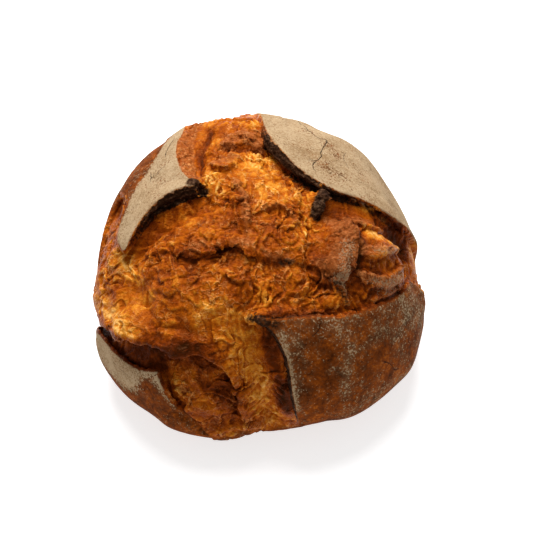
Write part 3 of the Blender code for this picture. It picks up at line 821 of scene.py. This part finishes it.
def torn_relief(points, hanging):
    """Pockets with sharp rims, strands and wrinkles of torn crumb, in mm. The strands run across,
    and downhill where the crumb hangs."""
    warp = np.stack([waves(points, 12, 81 + axis) for axis in range(3)], -1) * 4 * MM
    bent = points + warp
    pockets = cells(bent * (1, 1, 1.4), 9.0, 61) ** 2
    bubbles = cells(points + 0.6 * warp, 4.0, 62) ** 2
    pores = cells(points + 0.3 * warp, 2.3, 63) ** 2
    shelves = torn_shelves(bent, 19, 2.0, 31)
    small_shelves = torn_shelves(bent * (0.7, 1.2, 1.2), 10, 1.6, 51)
    across = veins(bent * (0.5, 1.3, 1.3), 5.0, 71)
    downhill = veins(bent * (1.5, 0.35, 0.35), 5.0, 74)
    relief = np.zeros(len(points))
    for height, form, level, patches, seed, share in (
            (1.3, pockets, 0.3, 34, 91, 0.6), (0.5, bubbles, 0.3, 22, 92, 0.5),
            (0.3, pores, 0.3, 15, 94, 0.2), (2.0, shelves, 0.4, 30, 96, 0.8),
            (0.5, small_shelves, 0.4, 19, 97, 0.2)):
        relief += height * (form - level) * ease(waves(points, patches, seed) + share)
    relief += np.where(hanging, 0.6 * downhill, 0.3 * across) + 0.2 * veins(bent, 2.6, 72)
    return relief + 0.3 * rough_waves(points, 3.0, 2, 73)


def nearest_crack(u, v):
    """Degrees to the nearest crack, negative on its left, and how dark it is."""
    nearest = np.full(u.shape, np.inf)
    dark = np.zeros(u.shape)
    for path, darkness in CRACKS:
        gap = distance_to(path, u, v)
        closer = np.abs(gap) < np.abs(nearest)
        nearest = np.where(closer, gap, nearest)
        dark = np.where(closer, darkness, dark)
    return nearest, dark


def roughen(loaf):
    """Fine relief of the skin: rough where the crumb is torn, nearly smooth on the crust."""
    mesh = loaf.data
    points, normals = read_vectors(mesh.vertices, "co"), read_vectors(mesh.vertex_normals, "vector")
    u, v, _, crust, char = surface_regions(points, normals)
    lively = (1 - crust) * (1 - 0.75 * char) * (1 - np.clip(spread(CALMS, u, v), 0, 1))
    lively *= 0.45 + 0.75 * ease(1.6 * waves(points, 28, 93) + 0.5)
    lively *= 1 - 0.8 * ease((np.hypot(u, v) - CRUMB_FOOT_FROM) / CRUMB_FOOT_OVER)
    hanging = distance_to(HANGING, u, v) + 3 * waves(points, 14, 95) < HANGING_WIDTH
    relief = lively * torn_relief(points, hanging)
    relief += 0.4 * char * rough_waves(points, 2.6, 2, 77)
    relief += crust * (0.12 * rough_waves(points, 5, 3, 75) + 0.1 * rough_waves(points, 14, 2, 76))
    above_floor = ease(points[:, 2] / (3 * MM))
    points += normals * (relief * above_floor * MM)[:, None]
    points[:, 2] = np.maximum(points[:, 2], 0)
    write_points(mesh, points)


def thin_out(loaf):
    """Leave fewer triangles, most of them where the skin is rough."""
    faces = sum(len(face.vertices) - 2 for face in loaf.data.polygons)
    decimate = loaf.modifiers.new("thin_out", "DECIMATE")
    decimate.ratio = TRIANGLES / faces
    thinned = evaluated_copy(loaf)
    loaf.modifiers.clear()
    loaf.data = thinned


def drop_specks(loaf):
    """Leave only the skin that hangs together with the loaf's highest point."""
    skin = bmesh.new()
    skin.from_mesh(loaf.data)
    top = max(skin.verts, key=lambda vert: vert.co.z)
    joined, front = {top}, [top]
    while front:
        for edge in front.pop().link_edges:
            fresh = set(edge.verts) - joined
            joined |= fresh
            front.extend(fresh)
    specks = [vert for vert in skin.verts if vert not in joined]
    bmesh.ops.delete(skin, geom=specks, context="VERTS")
    skin.to_mesh(loaf.data)
    skin.free()


def patch(outline, soft, u, v):
    """1 inside an outline, 0 outside, with a soft border."""
    outline = np.array(outline, float)
    border = np.full(u.shape, np.inf)
    for start, end in zip(outline, np.roll(outline, -1, axis=0)):
        along_edge = end - start
        share = ((u - start[0]) * along_edge[0] + (v - start[1]) * along_edge[1]) / (along_edge @ along_edge)
        share = np.clip(share, 0, 1)
        border = np.minimum(border, np.hypot(u - start[0] - share * along_edge[0],
                                             v - start[1] - share * along_edge[1]))
    signed = np.where(inside(outline, u, v), border, -border)
    return ease(0.5 + signed / soft)


def describe(loaf):
    """Write what the material reads: heights, and what each place is."""
    mesh = loaf.data
    points, normals = read_vectors(mesh.vertices, "co"), read_vectors(mesh.vertex_normals, "vector")
    u, v, proud, crust, char = surface_regions(points, normals)
    web = Neighbours(mesh)
    # The peaks are heights over the evened-out skin; the material paints shade with them, darker in hollows
    # and lighter on crests
    for name, rounds in (("fine_peak", 4), ("middle_peak", 16), ("broad_peak", 60)):
        even = np.stack([web.even_out(points[:, axis], rounds) for axis in range(3)], -1)
        write_value(mesh, name, np.einsum("ij,ij->i", points - even, normals) / MM)
    flour = CRUST_FLOUR + spread(FLOURS, u, v)
    for outline, amount, soft in FLOUR_PATCHES:
        flour += amount * patch(outline, soft, u, v)
    gap, dark = nearest_crack(u, v)
    for name, values in (
            ("tone", spread(TONES, u, v) + CRUMB_TONE), ("skin", spread(SKINS, u, v)),
            ("crust", crust), ("flour", np.where(crust > 0.5, flour, 0)),
            ("char", char), ("soot_and_shade", np.clip(spread(SOOTS_AND_SHADE, u, v), 0, 1) * ease(proud + 8)),
            ("crack_gap", gap), ("crack_near", dark * crust * ease(1.6 - np.abs(gap) / CRACK_NEAR)),
            ("calm", np.clip(spread(CALMS, u, v), 0, 1)), ("crumb_flour", spread(CRUMB_FLOURS, u, v)),
            ("proud", proud)):
        write_value(mesh, name, values)


class Shading:
    """Short names for the nodes of a material."""

    def __init__(self, name):
        self.material = bpy.data.materials.new(name)
        self.material.use_nodes = True
        self.tree = self.material.node_tree
        self.shader = self.tree.nodes["Principled BSDF"]
        self.place = self.tree.nodes.new("ShaderNodeTexCoord").outputs["Object"]

    def put(self, socket, value):
        if isinstance(value, bpy.types.NodeSocket):
            self.tree.links.new(value, socket)
        else:
            socket.default_value = value

    def attribute(self, name):
        node = self.tree.nodes.new("ShaderNodeAttribute")
        node.attribute_name = name
        return node.outputs["Fac"]

    def math(self, operation, first, second=0.0):
        node = self.tree.nodes.new("ShaderNodeMath")
        node.operation = operation
        self.put(node.inputs[0], first)
        self.put(node.inputs[1], second)
        return node.outputs[0]

    def add(self, *terms):
        total = terms[0]
        for term in terms[1:]:
            total = self.math("ADD", total, term)
        return total

    def scaled(self, value, factor):
        return self.math("MULTIPLY", value, factor)

    def swing(self, noise, amount):
        """Noise about 0 instead of 0.5, times an amount."""
        return self.scaled(self.math("SUBTRACT", noise, 0.5), amount)

    def between(self, value, low, high):
        """0 at low, 1 at high, smooth between."""
        node = self.tree.nodes.new("ShaderNodeMapRange")
        node.interpolation_type = "SMOOTHSTEP"
        for socket, number in (("Value", value), ("From Min", low), ("From Max", high)):
            self.put(node.inputs[socket], number)
        return node.outputs["Result"]

    def noise_node(self, length, detail, roughness, distortion, place):
        node = self.tree.nodes.new("ShaderNodeTexNoise")
        self.put(node.inputs["Vector"], self.place if place is None else place)
        for name, value in (("Scale", 1 / (length * MM)), ("Detail", detail),
                            ("Roughness", roughness), ("Distortion", distortion)):
            node.inputs[name].default_value = value
        return node

    def noise(self, length, detail=3.0, roughness=0.55, distortion=0.0, place=None):
        """Noise whose waves are length mm long, about 0 to 1."""
        return self.noise_node(length, detail, roughness, distortion, place).outputs["Fac"]

    def ripple(self, amount, *texture):
        """Noise about 0, times an amount. The texture's values are those of noise."""
        return self.swing(self.noise(*texture), amount)

    def vector(self, operation, first, second):
        node = self.tree.nodes.new("ShaderNodeVectorMath")
        node.operation = operation
        self.put(node.inputs[0], first)
        self.put(node.inputs[3 if operation == "SCALE" else 1], second)
        return node.outputs["Vector"]

    def bent(self, length, amount):
        """Places shifted about by up to about a third of amount mm, in waves length mm long."""
        push = self.noise_node(length, 2, 0.5, 0, None).outputs["Color"]
        push = self.vector("SCALE", self.vector("SUBTRACT", push, (0.5, 0.5, 0.5)), amount * MM)
        return self.vector("ADD", self.place, push)

    def webs(self, length, place):
        """How far it is to the walls between cells that are length mm wide, as a share of that."""
        node = self.tree.nodes.new("ShaderNodeTexVoronoi")
        node.feature = "DISTANCE_TO_EDGE"
        self.put(node.inputs["Vector"], place)
        node.inputs["Scale"].default_value = 1 / (length * MM)
        return node.outputs["Distance"]

    def ridges(self, length, place):
        """Sharp winding ridges, length mm apart, from about 0 in the furrows to 1 on top."""
        node = self.noise_node(length, 3, 0.6, 0.3, place)
        node.noise_type = "RIDGED_MULTIFRACTAL"
        node.normalize = True
        return node.outputs["Fac"]

    def ramp(self, value, stops):
        node = self.tree.nodes.new("ShaderNodeValToRGB")
        elements = node.color_ramp.elements
        while len(elements) < len(stops):
            elements.new(0.5)
        for element, (place, colour) in zip(elements, stops):
            element.position = place
            element.color = (*colour, 1)
        self.put(node.inputs["Fac"], value)
        return node.outputs["Color"]

    def mix(self, factor, first, second):
        node = self.tree.nodes.new("ShaderNodeMix")
        node.data_type = "RGBA"
        self.put(node.inputs[0], factor)
        for socket, value in ((node.inputs[6], first), (node.inputs[7], second)):
            self.put(socket, (*value, 1) if isinstance(value, tuple) else value)
        return node.outputs[2]

    def bump(self, height, distance):
        node = self.tree.nodes.new("ShaderNodeBump")
        node.inputs["Distance"].default_value = distance
        self.put(node.inputs["Height"], height)
        return node.outputs["Normal"]


# Crumb from hardly baked to burnt, and crust under the flour
CRUMB_COLOURS = [
    (0.00, (0.84, 0.47, 0.13)),
    (0.18, (0.60, 0.215, 0.018)),
    (0.36, (0.39, 0.086, 0.003)),
    (0.55, (0.22, 0.037, 0.0015)),
    (0.72, (0.10, 0.015, 0.0012)),
    (1.00, (0.030, 0.007, 0.001)),
]
CRUST_COLOURS = [
    (0.20, (0.045, 0.010, 0.0015)),
    (0.45, (0.110, 0.024, 0.003)),
    (0.65, (0.195, 0.040, 0.003)),
    (0.90, (0.350, 0.088, 0.008)),
]
FLOUR = (0.43, 0.31, 0.182)
FLOUR_SHADE = (0.23, 0.140, 0.066)
FLOUR_FILM = (0.150, 0.088, 0.042)
# Colours of char, also used for the painted shade under the end of the upper right lip
CHAR_AND_SHADE_COLOURS = [
    (0.3, (0.006, 0.002, 0.001)),
    (0.6, (0.034, 0.013, 0.006)),
    (0.85, (0.130, 0.068, 0.036)),
]
# Pale membranes on the crumb's lines, partly a painted highlight
MEMBRANE_AND_HIGHLIGHT = (0.84, 0.42, 0.13)
SKIN_COLOURS = [(0.25, (0.09, 0.018, 0.003)), (0.5, (0.26, 0.064, 0.012)), (0.75, (0.50, 0.17, 0.050))]
CRACK = (0.02, 0.009, 0.005)


def loaf_material():
    """One finish for the whole loaf, which reads what each place is from the mesh."""
    s = Shading("baked_loaf")
    fine, middle, broad = (s.attribute(name) for name in ("fine_peak", "middle_peak", "broad_peak"))
    is_crust = s.attribute("crust")
    grain = s.noise(0.9, 2, 0.6)
    curly, curlier = s.bent(6, 12), s.bent(3, 6)
    pockets, pores = s.webs(9, curly), s.webs(3.4, curlier)
    rims = s.scaled(s.between(pockets, 0.07, 0.02), s.between(s.noise(9), 0.47, 0.60))
    strands = s.scaled(s.between(pores, 0.12, 0.03), s.between(s.noise(6, place=curly), 0.50, 0.64))
    lively = s.math("SUBTRACT", 1.0, s.attribute("calm"))
    lines = s.math("MULTIPLY", s.math("MAXIMUM", rims, strands), lively)

    stringy = s.ridges(9, s.vector("MULTIPLY", s.bent(14, 9), (0.6, 1.3, 1.3)))
    # Painted shade: the crumb is darker in its hollows and lighter on its crests and lines (the fine, middle
    # and lines terms)
    tone = s.add(s.attribute("tone"), s.scaled(fine, -0.22), s.scaled(middle, -0.10), s.scaled(broad, 0.02),
                 s.scaled(lines, -0.06), s.ripple(1.0, 18, 3, 0.6, 0.6), s.swing(grain, 0.3),
                 s.ripple(0.3, 4.5, 3, 0.6, 0.8), s.swing(stringy, -0.15))
    crumb = s.ramp(tone, CRUMB_COLOURS)
    # Painted shade on the skin too: darker in its hollows, lighter on its crests and lines
    baked = s.ramp(s.add(s.noise(2.5, 4, 0.65), s.scaled(fine, 0.14), s.scaled(lines, 0.12)), SKIN_COLOURS)
    skin = s.between(s.add(s.attribute("skin"), s.scaled(broad, 0.2), s.ripple(2.0, 9, 4, 0.65)),
                     0.35, 0.85)
    crumb = s.mix(s.scaled(skin, 0.75), crumb, baked)
    # Pale membrane lines, partly painted highlight: lighter where the crumb is light, and glossier there too
    pale = s.scaled(lines, s.between(s.add(0.9, s.scaled(tone, -1)), 0.1, 0.9))
    crumb = s.mix(s.scaled(pale, 0.35), crumb, MEMBRANE_AND_HIGHLIGHT)
    dusty = s.between(s.add(s.attribute("crumb_flour"), s.ripple(1.8, 1.2, 3, 0.7)), 0.4, 0.7)
    crumb = s.mix(s.scaled(dusty, 0.7), crumb, s.mix(grain, FLOUR_SHADE, FLOUR))

    rust = s.add(0.52, s.ripple(1.7, 10, 6, 0.7, 0.5), s.ripple(0.8, 2.0, 3, 0.6))
    # Painted shade on the crust: darker in its hollows, lighter on its crests
    crust = s.ramp(s.add(rust, s.scaled(fine, 0.3)), CRUST_COLOURS)
    dust = s.add(s.attribute("flour"), s.ripple(1.1, 13, 5, 0.65, 0.5), s.scaled(fine, 0.2))
    film = s.between(s.add(dust, s.ripple(1.2, 2.4, 4, 0.7)), 0.10, 0.60)
    crust = s.mix(s.scaled(film, 0.44), crust, FLOUR_FILM)
    flecks = s.between(s.add(dust, s.ripple(2.6, 1.4, 2, 0.6), s.ripple(0.8, 4, 3, 0.6)),
                       0.45, 0.80)
    shaded = s.between(s.add(s.ripple(1.6, 1.2, 3, 0.7), s.ripple(0.9, 22, 3, 0.6, 0.6),
                             s.ripple(0.9, 4, 3, 0.7)), -0.30, 0.45)
    crust = s.mix(s.scaled(flecks, 0.92), crust, s.mix(shaded, FLOUR, FLOUR_SHADE))
    ragged = s.add(s.attribute("crack_gap"), s.ripple(1.2, 2.5, 3, 0.6))
    crack = s.scaled(s.between(s.math("ABSOLUTE", ragged), 0.22, 0.08), s.attribute("crack_near"))
    crust = s.mix(crack, crust, CRACK)
    colour = s.mix(is_crust, crumb, crust)

    layers = s.math("SINE", s.add(s.scaled(s.attribute("proud"), 2.0), s.ripple(9.0, 7, 2)))
    # Painted shade on the char: darker in its hollows, lighter on its crests
    burnt_and_shade = s.ramp(s.add(s.scaled(layers, 0.13), s.noise(1.8, 4, 0.7), s.scaled(fine, 0.2)), CHAR_AND_SHADE_COLOURS)
    # Char and the sooty stretches; the stretch under the end of the upper right lip is painted shade
    charred = s.math("MAXIMUM", s.attribute("char"), s.attribute("soot_and_shade"))
    colour = s.mix(s.between(s.add(charred, s.ripple(0.9, 2.2, 3, 0.65)), 0.25, 0.65), colour, burnt_and_shade)
    s.put(s.shader.inputs["Base Color"], colour)

    dryness = s.mix(is_crust, (0.36,) * 3, (0.85,) * 3)
    s.put(s.shader.inputs["Roughness"], s.add(dryness, s.swing(grain, 0.3)))
    gloss = s.math("MULTIPLY", s.add(0.06, s.scaled(pale, 0.55)), s.math("SUBTRACT", 1.0, is_crust))
    s.put(s.shader.inputs["Specular IOR Level"], s.add(gloss, s.scaled(is_crust, 0.06)))
    s.shader.inputs["Specular Tint"].default_value = (1.0, 0.52, 0.20, 1)
    crumb_bump = s.add(s.scaled(s.math("MINIMUM", pockets, 0.3), -1.6),
                       s.scaled(s.math("MINIMUM", pores, 0.3), -0.6),
                       s.scaled(lines, 0.3), s.scaled(grain, 0.3), s.scaled(stringy, 0.3),
                       s.scaled(s.noise(2.6, 3, 0.6, 1.0), 0.4))
    crust_bump = s.add(s.scaled(s.noise(1.1, 3, 0.7), 0.5), s.scaled(s.noise(4, 3, 0.6), 0.5),
                       s.scaled(crack, -1.0))
    height = s.mix(is_crust, crumb_bump, crust_bump)
    s.put(s.shader.inputs["Normal"], s.bump(height, 1.0 * MM))
    return s.material


def add_light(target):
    data = bpy.data.lights.new("key", "AREA")
    data.shape = "DISK"
    data.size = LIGHT_SIZE
    data.energy = LIGHT_POWER
    light = bpy.data.objects.new("key", data)
    light.location = LIGHT_PLACE
    light.rotation_euler = (target - Vector(LIGHT_PLACE)).to_track_quat("-Z", "Y").to_euler()
    bpy.context.scene.collection.objects.link(light)


def stage(target):
    """A white floor, a white sky and one soft light."""
    bpy.ops.mesh.primitive_plane_add(size=FLOOR_SIZE, location=(0, 0, 0))
    floor = bpy.context.object
    floor.name = "floor"
    paint = bpy.data.materials.new("white_floor")
    paint.use_nodes = True
    shader = paint.node_tree.nodes["Principled BSDF"]
    shader.inputs["Base Color"].default_value = (FLOOR_GREY, FLOOR_GREY, FLOOR_GREY, 1)
    shader.inputs["Roughness"].default_value = FLOOR_ROUGHNESS
    shader.inputs["Emission Color"].default_value = (1, 1, 1, 1)
    shader.inputs["Emission Strength"].default_value = FLOOR_GLOW
    floor.data.materials.append(paint)
    world = bpy.data.worlds.new("white_sky")
    world.use_nodes = True
    sky = world.node_tree.nodes["Background"]
    sky.inputs["Color"].default_value = (1, 1, 1, 1)
    sky.inputs["Strength"].default_value = SKY_GLOW
    bpy.context.scene.world = world
    add_light(target)
    bpy.context.scene.view_settings.view_transform = "Standard"


def camera(target):
    tilt = np.radians(CAMERA_ELEVATION)
    data = bpy.data.cameras.new("camera")
    data.sensor_width = SENSOR
    data.lens = SENSOR * CAMERA_DISTANCE / CAMERA_WIDTH
    made = bpy.data.objects.new("camera", data)
    made.location = target + CAMERA_DISTANCE * Vector((0, -np.cos(tilt), np.sin(tilt)))
    made.rotation_euler = (target - made.location).to_track_quat("-Z", "Y").to_euler()
    bpy.context.scene.collection.objects.link(made)
    bpy.context.scene.camera = made


def main():
    loaf = fused_loaf()
    roughen(loaf)
    thin_out(loaf)
    drop_specks(loaf)
    describe(loaf)
    points = read_vectors(loaf.data.vertices, "co")
    middle = (points.min(axis=0) + points.max(axis=0)) / 2
    points[:, :2] -= middle[:2]
    write_points(loaf.data, points)
    loaf.name = "loaf"
    loaf.data.materials.clear()
    loaf.data.materials.append(loaf_material())
    loaf.data.shade_smooth()
    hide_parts("round_loaf")
    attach(loaf, "root")
    shift = Vector((middle[0], middle[1], 0))
    target = CAMERA_TARGET - shift
    stage(target)
    camera(target)


main()
